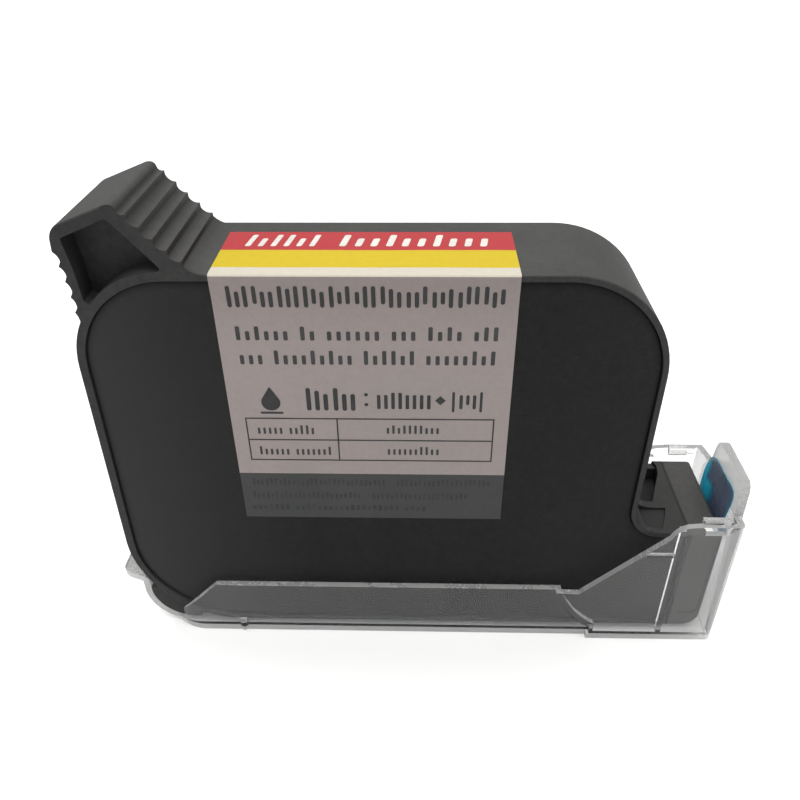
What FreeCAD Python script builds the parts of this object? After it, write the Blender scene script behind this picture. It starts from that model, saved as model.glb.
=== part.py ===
import FreeCAD, Part
import os
import math

# Thermal inkjet print cartridge (half-inch swath) lying on its long contact
# side in a clear snap-on protective tray.  Millimetres, +Z up, +X towards the
# nozzle end, -Y is the labelled side.  The origin is the centre of the
# footprint, on the surface that the tray rests on.

os.makedirs("parts", exist_ok=True)

# ---------------------------------------------------------------- dimensions
X0 = 7.5                 # design x of the origin (centre of the footprint)

T = 20.4                 # case thickness
HT = T / 2
BODY_BOTTOM = 2.0        # case underside above the table
BODY_TOP = 70.1
BODY_LEFT = -43.0
LEFT_EXTRA = 0.42        # the outer shell stands this much further out on the left
BODY_RIGHT = 43.65
SNOUT_TOP = 24.1
SNOUT_SPLIT = 53.0       # case / nose piece parting plane
NOSE_END = 58.5          # nozzle face of the nose piece
RIM = 0.95               # rim width left around each side cover
COVER_T = 0.8
COVER_SINK = 0.25        # cover face below the rim
COVER_GAP = 0.14         # shadow gap between rim and cover
WALL = 3.2               # case wall thickness to the ink cavity

R_TR = 15.9              # case corner radii
R_BL = 18.2
R_TL = 14.8
R_NECK = 4.7             # concave radius between case and snout

WEB_T = 1.2              # web that closes the handle, set 4 mm behind its labelled face
WEB_Y = -6.2
HANDLE_INSET = 1.1       # the handle stops short of the plain side
POCKET_R = 0.9

TRAY_T = 1.1             # clear tray wall
TRAY_FLOOR = 1.4
TRAY_NARROW = 11.55      # outer half width, long part
TRAY_WIDE = 12.5         # outer half width, snout part
TRAY_WALL_TOP = 11.7     # long walls
TRAY_SNOUT_TOP = 27.4    # walls around the snout
TRAY_SNOUT_TOP_BACK = 26.2
TRAY_END = 60.9          # outer face of the end wall
TRAY_END_IN = 59.7
TAB_TOP = 33.9           # thumb tab on the end wall
LIP_TIP = -46.0          # finger lip on the left end
TAB_OUT = 61.2

FILM_T = 0.15
FILM_Y = 7.6
PLATE_T = 0.4
PLATE_Y = 6.9            # outer face of each pressure plate at rest (full)
PLATE_W, PLATE_H = 62.0, 44.0
PLATE_TRAVEL = 5.6       # each plate, full to empty

LABEL_T = 0.10
LABEL_L, LABEL_R = -21.5, 21.1
LABEL_BOTTOM = 26.7
LABEL_BACK = 5.6         # how far the label runs over the top face

FLEX_T = 0.12
FLEX_HW = 7.6
TAPE_T = 0.15


# ------------------------------------------------------------------- helpers
def V(x, y, z):
    return FreeCAD.Vector(x - X0, y, z)


def P(x, z, y=0.0):
    return V(x, y, z)


def line(a, b, y):
    return Part.makeLine(P(a[0], a[1], y), P(b[0], b[1], y))


def arc(a, m, b, y):
    return Part.Arc(P(a[0], a[1], y), P(m[0], m[1], y), P(b[0], b[1], y)).toShape()


def on_circle(c, r, deg):
    t = math.radians(deg)
    return (c[0] + r * math.cos(t), c[1] + r * math.sin(t))


def prism(path, y0, y1):
    """path is a list of ('l', point) or ('a', mid, end) after a first point."""
    edges = []
    cur = path[0]
    for seg in path[1:]:
        if seg[0] == "l":
            if math.dist(cur, seg[1]) > 1e-6:
                edges.append(line(cur, seg[1], y0))
            cur = seg[1]
        else:
            edges.append(arc(cur, seg[1], seg[2], y0))
            cur = seg[2]
    if math.dist(cur, path[0]) > 1e-6:
        edges.append(line(cur, path[0], y0))
    face = Part.Face(Part.Wire(edges))
    return face.extrude(FreeCAD.Vector(0, y1 - y0, 0))


def poly(points, y0, y1):
    return prism([points[0]] + [("l", p) for p in points[1:]], y0, y1)


def box(x0, x1, y0, y1, z0, z1):
    return Part.makeBox(x1 - x0, y1 - y0, z1 - z0, V(x0, y0, z0))


def yz_prism(points, x0, x1):
    pts = [V(x0, p[0], p[1]) for p in points]
    face = Part.Face(Part.makePolygon(pts + [pts[0]]))
    return face.extrude(FreeCAD.Vector(x1 - x0, 0, 0))


def xy_prism(points, z0, z1):
    pts = [V(p[0], p[1], z0) for p in points]
    face = Part.Face(Part.makePolygon(pts + [pts[0]]))
    return face.extrude(FreeCAD.Vector(0, 0, z1 - z0))


def cyl(r, h, base, direction):
    return Part.makeCylinder(r, h, base, direction)


def rounded(shape, r, pick):
    edges = [e for e in shape.Edges if pick(e)]
    if not edges:
        return shape
    try:
        out = shape.makeFillet(r, edges)
        if out.isValid() and out.Volume > 0:
            return out
    except Exception:
        pass
    return shape


def along(axis):
    def pick(e):
        if not isinstance(e.Curve, Part.Line) and not isinstance(e.Curve, Part.LineSegment):
            return False
        a, b = e.Vertexes[0].Point, e.Vertexes[-1].Point
        d = b.sub(a)
        return abs(d.normalize().dot(axis)) > 0.999
    return pick


YAX = FreeCAD.Vector(0, 1, 0)
XAX = FreeCAD.Vector(1, 0, 0)
ZAX = FreeCAD.Vector(0, 0, 1)


def mirror_y(shape):
    return shape.mirror(FreeCAD.Vector(0, 0, 0), FreeCAD.Vector(0, 1, 0))


def one(shape):
    s = shape.removeSplitter()
    solids = s.Solids
    return solids[0] if len(solids) == 1 else s


def save(name, shape):
    shape.exportStep("parts/%s.step" % name)
    b = shape.BoundBox
    print("%-22s solids %2d valid %s vol %9.2f  x %.2f..%.2f y %.2f..%.2f z %.2f..%.2f" % (
        name, len(shape.Solids), shape.isValid(), shape.Volume,
        b.XMin, b.XMax, b.YMin, b.YMax, b.ZMin, b.ZMax))


# ------------------------------------------------------------ case outlines
C_TR = (BODY_RIGHT - R_TR, BODY_TOP - R_TR)          # (27.75, 54.2)
C_BL0 = (BODY_LEFT + R_BL, BODY_BOTTOM + R_BL)       # (-24.8, 20.2)
C_TL0 = (-27.7, 55.35)
C_NECK = (48.2, 28.8)


def outline(grow, x_end, split_r=0.0, left=0.0):
    """Outline of the case side, moved inwards by -grow (grow < 0) or kept.

    left moves the two left corners outwards, so the rim is wider there.
    """
    g = grow
    C_TL = (C_TL0[0] - left, C_TL0[1])
    C_BL = (C_BL0[0] - left, C_BL0[1])
    top = BODY_TOP + g
    left_t = C_TL[0] - (top - C_TL[1])
    rt = C_TR[0] + (R_TR + g)
    path = [(C_TL[0], top),
            ("l", (C_TR[0], C_TR[1] + R_TR + g)),
            ("a", on_circle(C_TR, R_TR + g, 45), (rt, C_TR[1])),
            ("l", (C_NECK[0] - (R_NECK - g), C_NECK[1])),
            ("a", on_circle(C_NECK, R_NECK - g, 225), (C_NECK[0], C_NECK[1] - (R_NECK - g)))]
    zt = C_NECK[1] - (R_NECK - g)
    zb = BODY_BOTTOM - g
    xe = x_end
    if split_r > 0:
        r = split_r
        path += [("l", (xe - r, zt)), ("a", on_circle((xe - r, zt - r), r, 45), (xe, zt - r)),
                 ("l", (xe, zb + r)), ("a", on_circle((xe - r, zb + r), r, -45), (xe - r, zb))]
    else:
        path += [("l", (xe, zt)), ("l", (xe, zb))]
    rb = R_BL + g
    path += [("l", (C_BL[0], C_BL[1] - rb)),
             ("a", on_circle(C_BL, rb, 225), (C_BL[0] - rb, C_BL[1])),
             ("l", (left_t, C_TL[1])),
             ("a", on_circle(C_TL, top - C_TL[1], 135), (C_TL[0], top))]
    return path


# --------------------------------------------------------------- case frame
frame = prism(outline(0.0, SNOUT_SPLIT, left=LEFT_EXTRA), -HT, HT)

# handle: polygonal loop with stepped finger grooves on both flanks
flank_r = [((-31.06, 78.42), (-31.02, 77.82)),
           ((-29.53, 76.72), (-29.50, 76.02)),
           ((-28.05, 75.10), (-28.02, 74.38)),
           ((-26.45, 73.55), (-26.40, 72.80)),
           ((-24.72, 71.98), (-24.66, 71.40))]
flank_l = [((-41.1, 64.4), (-40.62, 65.1)),
           ((-41.12, 66.7), (-40.72, 67.45)),
           ((-41.3, 69.0), (-40.9, 69.8)),
           ((-41.6, 71.2), (-41.2, 72.0)),
           ((-42.1, 73.4), (-41.75, 74.1))]


def sag(a, b, depth, side):
    mx, mz = (a[0] + b[0]) / 2, (a[1] + b[1]) / 2
    dx, dz = b[0] - a[0], b[1] - a[1]
    n = math.hypot(dx, dz)
    return (mx + side * depth * dz / n, mz - side * depth * dx / n)


h = [(-21.7, 70.1)]
# up the right flank: long concave tread, short riser
cur = (-21.7, 70.1)
for cusp, valley in reversed(flank_r):
    h.append(("a", sag(cur, valley, 0.30, -1), valley))
    h.append(("l", cusp))
    cur = cusp
h.append(("a", (-31.66, 78.42), (-32.04, 78.80)))
h.append(("l", (-32.16, 79.25)))
h.append(("a", (-32.55, 79.62), (-33.1, 79.72)))
h.append(("a", (-33.45, 79.70), (-33.8, 79.58)))
h.append(("l", (-40.1, 77.2)))
h.append(("a", (-41.55, 76.1), (-42.0, 74.6)))
h.append(("l", (-42.1, 73.4)))
cur = (-42.1, 73.4)
# down the left flank
pts_l = list(reversed(flank_l))
for i, (cusp, valley) in enumerate(pts_l[1:]):
    v = valley
    h.append(("a", sag(cur, v, 0.20, -1), v))
    h.append(("l", cusp))
    cur = cusp
h.append(("a", sag(cur, (-40.75, 62.3), 0.20, -1), (-40.75, 62.3)))
h.append(("l", (-38.0, 60.0)))
h.append(("l", (-30.0, 66.5)))
h.append(("l", (-21.7, 68.5)))
handle = prism(h, -HT, HT - HANDLE_INSET)
frame = frame.fuse(handle)

# corner foot at the lower left
FOOT = ((-34.35, 8.7), 7.1)
foot = prism([(-33.0, BODY_BOTTOM), ("l", (-36.70, BODY_BOTTOM)), ("a", on_circle(*FOOT, 225), on_circle(*FOOT, 188)),
              ("l", (-41.38, 9.0)), ("l", (-33.0, 9.0))], -HT + 0.6, HT - 0.6)
frame = frame.fuse(foot)
frame = one(frame)


# soften the outer front and back edges where the geometry lets it
def rim_edge(e):
    b = e.BoundBox
    flat = abs(b.YMin - b.YMax) < 1e-6 and abs(abs(b.YMin) - HT) < 1e-6
    return flat


soft = [e for e in frame.Edges if rim_edge(e) and e.Length > 4.0]
try:
    f2 = frame.makeFillet(0.35, soft)
    if f2.isValid() and abs(f2.Volume - frame.Volume) < 0.05 * frame.Volume:
        frame = f2
        print("rim fillet ok", len(soft))
except Exception as ex:
    print("rim fillet skipped", ex)

# shallow finger pocket on the labelled side of the web, deep one behind it
pocket_path = [(-28.4, 70.45),
               ("a", (-33.95, 69.25), (-38.75, 65.55)),
               ("l", (-39.45, 66.2)),
               ("l", (-39.75, 71.0)),
               ("l", (-40.45, 75.2)),
               ("l", (-33.85, 77.85)),
               ("l", (-33.2, 77.3)),
               ("l", (-28.6, 71.9)),
               ("l", (-27.7, 70.75))]
pocket = rounded(prism(pocket_path, -HT - 1, WEB_Y), 0.35, along(YAX))
pocket_back = rounded(prism(pocket_path, WEB_Y + WEB_T, HT + 1), 0.35, along(YAX))
frame = frame.cut(pocket).cut(pocket_back)

# seats for the two side covers
seat = prism(outline(-RIM, 52.6, 1.4), -HT - 1, -HT + COVER_SINK + COVER_T)
frame = frame.cut(seat).cut(mirror_y(seat))

# ink cavity, open to both sides under the covers
cavity = prism(outline(-WALL, 41.5), -HT - 1, HT + 1)
cav_box = box(-60, BODY_RIGHT - WALL, -20, 20, 0, 80)
cavity = cavity.common(cav_box)
frame = frame.cut(cavity)

# snout: filter chamber through to the nose, two recesses on the top land
CH_Z0, CH_Z1, CH_Y = 6.0, 20.0, 6.6
frame = frame.cut(box(38.0, SNOUT_SPLIT + 1, -CH_Y, CH_Y, CH_Z0, CH_Z1))
slot = xy_prism([(45.2, -1.9), (48.62, -1.95), (50.84, 4.37), (51.55, 6.3), (51.8, 8.6), (45.2, 8.6)], 20.9, 30.0)
slot = slot.fuse(xy_prism([(45.2, 8.5), (51.79, 8.5), (51.3, 10.3), (45.2, 10.3)], 23.35, 30.0))
shallow = xy_prism([(45.4, -9.05), (48.7, -9.05), (50.05, -5.3), (50.45, -3.65), (45.4, -3.6)], 23.72, 30.0)
keep = prism([(43.5, 28.8), ("l", (43.6, 60.0)), ("l", (40.0, 60.0)), ("l", (40.0, 20.0)), ("l", (44.2, 20.0)), ("l", (44.2, 26.2))], -HT, HT)
frame = frame.cut(slot.cut(keep)).cut(shallow.cut(keep))

# fill port through the underside
PORT_X, PORT_R = 18.0, 1.6
frame = frame.cut(cyl(PORT_R, 6.0, V(PORT_X, 0, 0.5), ZAX))
case_frame = one(frame)

# -------------------------------------------------------------- side covers
cover = prism(outline(-RIM - COVER_GAP, 52.6 - COVER_GAP, 1.3),
              -HT + COVER_SINK, -HT + COVER_SINK + COVER_T)
cv = [e for e in cover.Edges if abs(e.BoundBox.YMin - e.BoundBox.YMax) < 1e-6
      and abs(e.BoundBox.YMin - (-HT + COVER_SINK)) < 1e-6]
try:
    c2 = cover.makeFillet(0.2, cv)
    if c2.isValid():
        cover = c2
        print("cover fillet ok")
except Exception as ex:
    print("cover fillet skipped", ex)
front_cover = cover
back_cover = mirror_y(cover)

# ------------------------------------------------------------- ink bag parts
LIN = 0.1
lin_o = prism(outline(-WALL - LIN, 41.0), -FILM_Y, FILM_Y).common(box(-60, BODY_RIGHT - WALL - LIN, -20, 20, 0, 80))
lin_i = prism(outline(-WALL - 1.8, 39.0), -12, 12).common(box(-60, BODY_RIGHT - WALL - 1.8, -20, 20, 0, 80))
liner = lin_o.cut(lin_i)
# opening of the liner into the filter chamber, and over the fill port
liner = liner.cut(box(36.0, 42.0, -CH_Y + 0.6, CH_Y - 0.6, CH_Z0 + 0.6, CH_Z1 - 0.6))
inner_liner = one(liner)

film = prism(outline(-WALL - LIN, 41.0), -FILM_Y - FILM_T, -FILM_Y).common(box(-60, BODY_RIGHT - WALL - LIN, -20, 20, 0, 80))
front_ink_film = one(film)
back_ink_film = mirror_y(front_ink_film)

PCX, PCZ = -1.5, 37.5


def plate(w, hh, r, y0, y1):
    b = box(PCX - w / 2, PCX + w / 2, y0, y1, PCZ - hh / 2, PCZ + hh / 2)
    return rounded(b, r, along(YAX))


front_pressure_plate = plate(PLATE_W, PLATE_H, 9.0, -PLATE_Y, -PLATE_Y + PLATE_T)
# raised land where the spring bears
back_pressure_plate = mirror_y(front_pressure_plate)
guard = plate(PLATE_W + 5, PLATE_H + 5, 11.0, -PLATE_Y - 0.25, -PLATE_Y - 0.02)
front_edge_guard = guard
back_edge_guard = mirror_y(guard)

# bow spring: a lens of two bowed leaves between the plates
SP_W, SP_T, SP_L = 14.0, 0.3, 23.0
SP_Y = PLATE_Y - PLATE_T - 0.06


def bow(sign):
    def leaf(y_mid, y_end, xl):
        return Part.Arc(V(PCX - xl, sign * y_end, 0), V(PCX, sign * y_mid, 0), V(PCX + xl, sign * y_end, 0)).toShape()
    a = leaf(SP_Y, 0.0, SP_L)
    b = leaf(SP_Y - SP_T, -0.0, SP_L - 1.4)
    l1 = Part.makeLine(V(PCX - SP_L, 0, 0), V(PCX - SP_L + 1.4, 0, 0))
    l2 = Part.makeLine(V(PCX + SP_L - 1.4, 0, 0), V(PCX + SP_L, 0, 0))
    w = Part.Wire(Part.__sortEdges__([a, l2, b, l1]))
    f = Part.Face(w)
    s = f.extrude(FreeCAD.Vector(0, 0, SP_W))
    s.translate(FreeCAD.Vector(0, 0, PCZ - SP_W / 2))
    return s


bow_spring = one(bow(1).fuse(bow(-1)))

# ------------------------------------------------- filter and outlet passage
FC0, FC1 = 41.2, SNOUT_SPLIT - 0.2
carrier = box(FC0, FC1, -CH_Y + 0.1, CH_Y - 0.1, CH_Z0 + 0.1, CH_Z1 - 0.1)
carrier = carrier.cut(box(FC0 + 1.2, FC1 - 3.0, -CH_Y - 1, CH_Y + 1, CH_Z0 + 1.6, CH_Z1 - 1.6))
carrier = carrier.fuse(box(FC0 + 1.2, FC1 - 3.0, -2.2, 2.2, CH_Z0 + 1.6, CH_Z0 + 3.0))
carrier = carrier.cut(cyl(2.0, 8.0, V(FC1 - 4.0, 0, (CH_Z0 + CH_Z1) / 2), XAX))
carrier = carrier.cut(box(FC0 - 1, FC0 + 2, -3.5, 3.5, CH_Z0 + 4, CH_Z1 - 3))
filter_carrier = one(carrier)
screen = box(FC0 + 1.25, FC1 - 3.05, -5.2, -5.05, CH_Z0 + 1.65, CH_Z1 - 1.65)
front_filter_screen = screen
back_filter_screen = mirror_y(screen)
outlet_seal = cyl(3.0, 0.0 + 1.2, V(SNOUT_SPLIT - 0.0 + 0.0, 0, (CH_Z0 + CH_Z1) / 2), XAX).cut(
    cyl(2.0, 4.0, V(SNOUT_SPLIT - 1.0, 0, (CH_Z0 + CH_Z1) / 2), XAX))

# ---------------------------------------------------------------- nose piece
NZ_R = 3.0
nose_path = [(SNOUT_SPLIT, SNOUT_TOP), ("l", (NOSE_END - 0.8, SNOUT_TOP)),
             ("a", on_circle((NOSE_END - 0.8, SNOUT_TOP - 0.8), 0.8, 45), (NOSE_END, SNOUT_TOP - 0.8)),
             ("l", (NOSE_END, BODY_BOTTOM + NZ_R)),
             ("a", on_circle((NOSE_END - NZ_R, BODY_BOTTOM + NZ_R), NZ_R, -45), (NOSE_END - NZ_R, BODY_BOTTOM)),
             ("l", (SNOUT_SPLIT, BODY_BOTTOM))]
nose = prism(nose_path, -HT, HT)
nv = [e for e in nose.Edges if abs(e.BoundBox.YMin - e.BoundBox.YMax) < 1e-6]
try:
    n2 = nose.makeFillet(0.4, nv)
    if n2.isValid():
        nose = n2
        print("nose fillet ok")
except Exception as ex:
    print("nose fillet skipped", ex)
side_panel = box(SNOUT_SPLIT + 0.9, NOSE_END - 0.7, -HT - 1, -HT + 0.22, 5.2, SNOUT_TOP - 2.0)
side_panel = rounded(side_panel, 1.4, along(YAX))
nose = nose.cut(side_panel).cut(mirror_y(side_panel))
ZC = (CH_Z0 + CH_Z1) / 2
nose = nose.cut(cyl(3.0, 1.2, V(SNOUT_SPLIT, 0, ZC), XAX))
nose = nose.cut(cyl(2.0, 3.0, V(SNOUT_SPLIT, 0, ZC), XAX))
nose = nose.cut(box(SNOUT_SPLIT + 2.2, NOSE_END - 0.5, -1.2, 1.2, ZC - 6.0, ZC + 6.0))
DIE_HZ, DIE_HY, DIE_T = 7.25, 2.6, 0.65
nose = nose.cut(box(NOSE_END - DIE_T, NOSE_END + 1, -DIE_HY - 0.1, DIE_HY + 0.1, ZC - DIE_HZ - 0.1, ZC + DIE_HZ + 0.1))
nose_piece = one(nose)

# silicon die, ink slot down its middle
die = box(NOSE_END - DIE_T, NOSE_END, -DIE_HY, DIE_HY, ZC - DIE_HZ, ZC + DIE_HZ)
die = die.cut(box(NOSE_END - DIE_T - 1, NOSE_END - 0.08, -0.3, 0.3, ZC - 6.4, ZC + 6.4))
printhead_die = die

# nozzle plate with two staggered columns of nozzles (every twelfth is cut)
npl = box(NOSE_END, NOSE_END + 0.1, -DIE_HY + 0.25, DIE_HY - 0.25, ZC - DIE_HZ + 0.3, ZC + DIE_HZ - 0.3)
holes = []
for i in range(25):
    z = ZC - 6.1 + i * 12.2 / 24
    holes.append(cyl(0.07, 1.0, V(NOSE_END - 0.3, -0.9, z), XAX))
    holes.append(cyl(0.07, 1.0, V(NOSE_END - 0.3, 0.9, z + 0.12), XAX))
npl = npl.cut(Part.makeCompound(holes))
nozzle_plate = npl

# flexible circuit: nozzle face, round the corner, along the contact side
e0 = NOSE_END
zb = BODY_BOTTOM
cc = (NOSE_END - NZ_R, BODY_BOTTOM + NZ_R)
FX_END = 35.0
flex_path = [(e0, 22.6), ("l", (e0 + FLEX_T, 22.6)), ("l", (e0 + FLEX_T, cc[1])),
             ("a", on_circle(cc, NZ_R + FLEX_T, -45), (cc[0], zb - FLEX_T)),
             ("l", (FX_END, zb - FLEX_T)), ("l", (FX_END, zb)), ("l", (cc[0], zb)),
             ("a", on_circle(cc, NZ_R, -45), (e0, cc[1]))]
flex = prism(flex_path, -FLEX_HW, FLEX_HW)
flex = flex.cut(box(NOSE_END - 1, NOSE_END + 1, -DIE_HY - 0.15, DIE_HY + 0.15, ZC - DIE_HZ - 0.15, ZC + DIE_HZ + 0.15))
# registration holes
for (hx, hy) in ((36.6, -6.3), (36.6, 6.3)):
    flex = flex.cut(cyl(0.6, 2, V(hx, hy, zb - 1), ZAX))
flex_circuit = one(flex)

# encapsulant beads over the lead bonds at both ends of the die
beads = []
for s in (-1, 1):
    zc = ZC + s * (DIE_HZ + 0.05)
    b = cyl(0.42, 2 * DIE_HY + 0.8, V(NOSE_END + FLEX_T - 0.16, -DIE_HY - 0.4, zc), YAX)
    b = b.common(box(NOSE_END + FLEX_T, NOSE_END + 2, -6, 6, zc - 1, zc + 1))
    beads.append(b)
encapsulant_beads = Part.makeCompound(beads)

# gold contact pads: 4 rows of 13
pads = []
for i in range(13):
    for yy in (-5.55, -2.25, 2.25, 5.55):
        x = 38.4 + i * 1.27
        pads.append(box(x - 0.45, x + 0.45, yy - 1.05, yy + 1.05, zb - FLEX_T - 0.04, zb - FLEX_T))
contact_pads = Part.makeCompound(pads)

# ball plug in the fill port
plug = cyl(PORT_R, 2.4, V(PORT_X, 0, BODY_BOTTOM + 0.4), ZAX)
plug = plug.cut(cyl(0.7, 0.5, V(PORT_X, 0, BODY_BOTTOM + 0.3), ZAX))
fill_plug = plug

# ------------------------------------------------------------------- label
yo = -HT + COVER_SINK
lab = [(yo, LABEL_BOTTOM), (yo - LABEL_T, LABEL_BOTTOM), (yo - LABEL_T, 68.55),
       (-HT - LABEL_T, 69.05), (-HT - LABEL_T, BODY_TOP + LABEL_T),
       (LABEL_BACK, BODY_TOP + LABEL_T), (LABEL_BACK, BODY_TOP), (-HT, BODY_TOP),
       (-HT, 69.08), (yo, 68.58)]
label = yz_prism(lab, LABEL_L, LABEL_R)
lr = [e for e in label.Edges if along(XAX)(e) and abs(e.BoundBox.YMin + HT + LABEL_T) < 1e-4
      and e.BoundBox.ZMax > BODY_TOP]
try:
    l2 = label.makeFillet(0.09, lr)
    if l2.isValid():
        label = l2
except Exception:
    pass
wrap_label = label

# -------------------------------------------------------------- nozzle tape
tx = NOSE_END + FLEX_T + 0.42
tape_pts_in = [(6.0, 0.0), (22.0, 0.0), (25.0, 0.10), (28.0, 0.26), (30.2, 0.32), (31.6, 0.30)]
prof = []
for z, dx in tape_pts_in:
    prof.append((tx + dx, z))
back = [(x + TAPE_T, z) for x, z in reversed(prof)]
tp = poly(prof + back, -8.1, 4.8)
cut1 = yz_prism([(-8.2, 33), (-8.2, 29.9), (-7.7, 31.1), (-6.6, 31.61), (-6.6, 33)], 55, 65)
cut2 = yz_prism([(4.9, 33), (4.9, 25.6), (4.6, 26.6), (3.9, 29.2), (2.9, 30.7), (-0.4, 31.3), (-3.3, 31.61), (-3.3, 33)], 55, 65)
tp = tp.cut(cut1).cut(cut2)
nozzle_tape = one(tp)

# --------------------------------------------------------------- clear tray
tw = TRAY_T
yn = TRAY_NARROW
yw = TRAY_WIDE
# curled left end with a finger lip
CURL_OUT = ((-34.35, 8.4), 8.4)                       # centre and radius, outside
CURL_IN = ((-34.35, TRAY_FLOOR + 7.3), 7.3)           # and inside
floor_path = [(-33.0, 0.0), ("l", (-34.35, 0.0)),
              ("a", on_circle(*CURL_OUT, 225), on_circle(*CURL_OUT, 186)), ("l", (-42.74, 10.2)),
              ("l", (LIP_TIP, 11.75)), ("l", (LIP_TIP + 0.12, 12.85)), ("l", (-42.2, 11.2)),
              ("l", (-41.62, 10.6)), ("l", on_circle(*CURL_IN, 188)),
              ("a", on_circle(*CURL_IN, 225), (-34.35, TRAY_FLOOR)), ("l", (-33.0, TRAY_FLOOR))]
lip_plan = Part.Face(Part.Wire([
    Part.makeLine(V(-33.0, -9.3, -1), V(LIP_TIP + 1.6, -9.3, -1)),
    Part.Arc(V(LIP_TIP + 1.6, -9.3, -1), V(LIP_TIP + 0.47, -8.83, -1), V(LIP_TIP, -7.7, -1)).toShape(),
    Part.makeLine(V(LIP_TIP, -7.7, -1), V(LIP_TIP, 7.7, -1)),
    Part.Arc(V(LIP_TIP, 7.7, -1), V(LIP_TIP + 0.47, 8.83, -1), V(LIP_TIP + 1.6, 9.3, -1)).toShape(),
    Part.makeLine(V(LIP_TIP + 1.6, 9.3, -1), V(-33.0, 9.3, -1)),
    Part.makeLine(V(-33.0, 9.3, -1), V(-33.0, -9.3, -1))])).extrude(FreeCAD.Vector(0, 0, 30))
curl = prism(floor_path, -9.3, 9.3).common(lip_plan)
# rounded end of the floor in plan
end_plan = Part.Face(Part.Wire([
    Part.makeLine(V(-31.5, -yn, -1), V(40.0, -yn, -1)), Part.makeLine(V(40.0, -yn, -1), V(40.0, yn, -1)),
    Part.makeLine(V(40.0, yn, -1), V(-31.5, yn, -1)),
    Part.Arc(V(-31.5, yn, -1), V(-35.2, yn - 0.72, -1), V(-37.6, 9.3, -1)).toShape(),
    Part.makeLine(V(-37.6, 9.3, -1), V(-37.6, -9.3, -1)),
    Part.Arc(V(-37.6, -9.3, -1), V(-35.2, -yn + 0.72, -1), V(-31.5, -yn, -1)).toShape()])).extrude(
        FreeCAD.Vector(0, 0, 30))
low_curl = prism(floor_path, -yn, yn).common(box(-45.0, -32.9, -yn, yn, 0.0, 4.4)).common(end_plan)
curl = curl.fuse(low_curl)
floor_n = box(-33.0, 40.0, -yn, yn, 0.0, TRAY_FLOOR).common(end_plan)
floor_w = box(38.2, TRAY_END, -yw, yw, 0.0, TRAY_FLOOR)
tray = floor_n.fuse(curl).fuse(floor_w)


def long_wall():
    path = [(-28.7, TRAY_WALL_TOP), ("l", (31.4, TRAY_WALL_TOP)), ("l", (40.0, TRAY_WALL_TOP)),
            ("l", (40.0, 0.0)), ("l", (-33.0, 0.0)),
            ("a", (-35.4, 0.32), (-37.3, 0.95)), ("l", (-36.6, 3.6)),
            ("a", (-35.9, 4.6), (-34.9, 5.55))]
    w = prism(path, -yn, -yn + tw)
    return w.common(end_plan)


step_curve = [(31.2, 13.0), (32.6, 9.4), (34.9, 5.9), (37.0, 3.9), (38.6, 2.9), (38.6, -1.0)]


def region_right():
    return poly([(31.2, 40.0)] + step_curve + [(70.0, -1.0), (70.0, 40.0)], -20, 0)


def wide_wall(top):
    path = [(31.2, 11.7), ("l", (35.7, 11.55)), ("l", (49.3, top - 2.75)),
            ("a", (50.3, top - 1.15), (51.9, top - 0.2)), ("l", (54.0, top)), ("l", (TRAY_END, top)),
            ("l", (TRAY_END, 0.0)), ("l", (30.0, 0.0)), ("l", (30.0, 11.7))]
    w = prism(path, -yw, -yw + tw)
    return w.common(region_right())


def step_strip():
    """Curved wall joining the long wall plane to the wide wall plane."""
    inner = []
    n = len(step_curve)
    pts = step_curve[:-1] + [(38.6, 0.0)]
    off = []
    for i, p in enumerate(pts):
        a = pts[max(i - 1, 0)]
        b = pts[min(i + 1, len(pts) - 1)]
        dx, dz = b[0] - a[0], b[1] - a[1]
        m = math.hypot(dx, dz)
        off.append((p[0] - 0.9 * dz / m, p[1] + 0.9 * dx / m))
    off[0] = (pts[0][0] + 1.0, pts[0][1])
    off[-1] = (pts[-1][0] + 0.9, 0.0)
    pr = poly(pts + list(reversed(off)), -yw, -yn + tw)
    return pr.common(box(20, 50, -20, 0, 0.0, 11.7))


def half(top):
    lw = long_wall().cut(region_right().cut(box(0, 80, -20, 0, -2, 0.0)))
    h1 = lw.fuse(wide_wall(top)).fuse(step_strip())
    # guide ribs inside the snout wall
    h1 = h1.fuse(box(50.85, 51.75, -yw + tw - 0.01, -yw + tw + 0.9, TRAY_FLOOR - 0.01, top - 1.5))
    h1 = h1.fuse(box(46.1, 51.0, -yw + tw - 0.01, -yw + tw + 0.7, 19.9, 20.45))
    # centring ledge at the top of the wall, above its moulding window
    h1 = h1.fuse(box(54.3, 59.0, -yw + tw - 0.35, -yw + tw + 0.95, top - 0.8, top + 0.5))
    h1 = h1.cut(box(54.5, 58.0, -yw - 1, -yw + tw + 0.001, top - 1.75, top - 0.75))
    return h1


tray = tray.fuse(half(TRAY_SNOUT_TOP))
tray = tray.fuse(mirror_y(half(TRAY_SNOUT_TOP_BACK)))

# end wall with the thumb tab
endw = yz_prism([(-yw, 0), (-yw, TRAY_SNOUT_TOP), (-9.6, TRAY_SNOUT_TOP), (6.8, TRAY_SNOUT_TOP),
                 (yw, TRAY_SNOUT_TOP_BACK), (yw, 0)], TRAY_END_IN, TRAY_END)
tab = yz_prism([(-9.6, 26.2), (-9.3, 32.2), (-8.95, 33.2), (-8.2, TAB_TOP), (2.1, TAB_TOP), (3.05, 33.5), (3.5, 32.7),
                (4.2, 29.6), (4.9, 25.9)],
               TRAY_END_IN, TAB_OUT)
tray = tray.fuse(endw).fuse(tab)
# support rails on the floor
for y in (-6.0, 6.0):
    for (xa, xb) in ((-30.0, 20.0),):
        tray = tray.fuse(box(xa, xb, y + (1.8 if y > 0 else -2.4), y + (2.4 if y > 0 else -1.8),
                             TRAY_FLOOR - 0.01, BODY_BOTTOM - 0.08))
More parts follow.
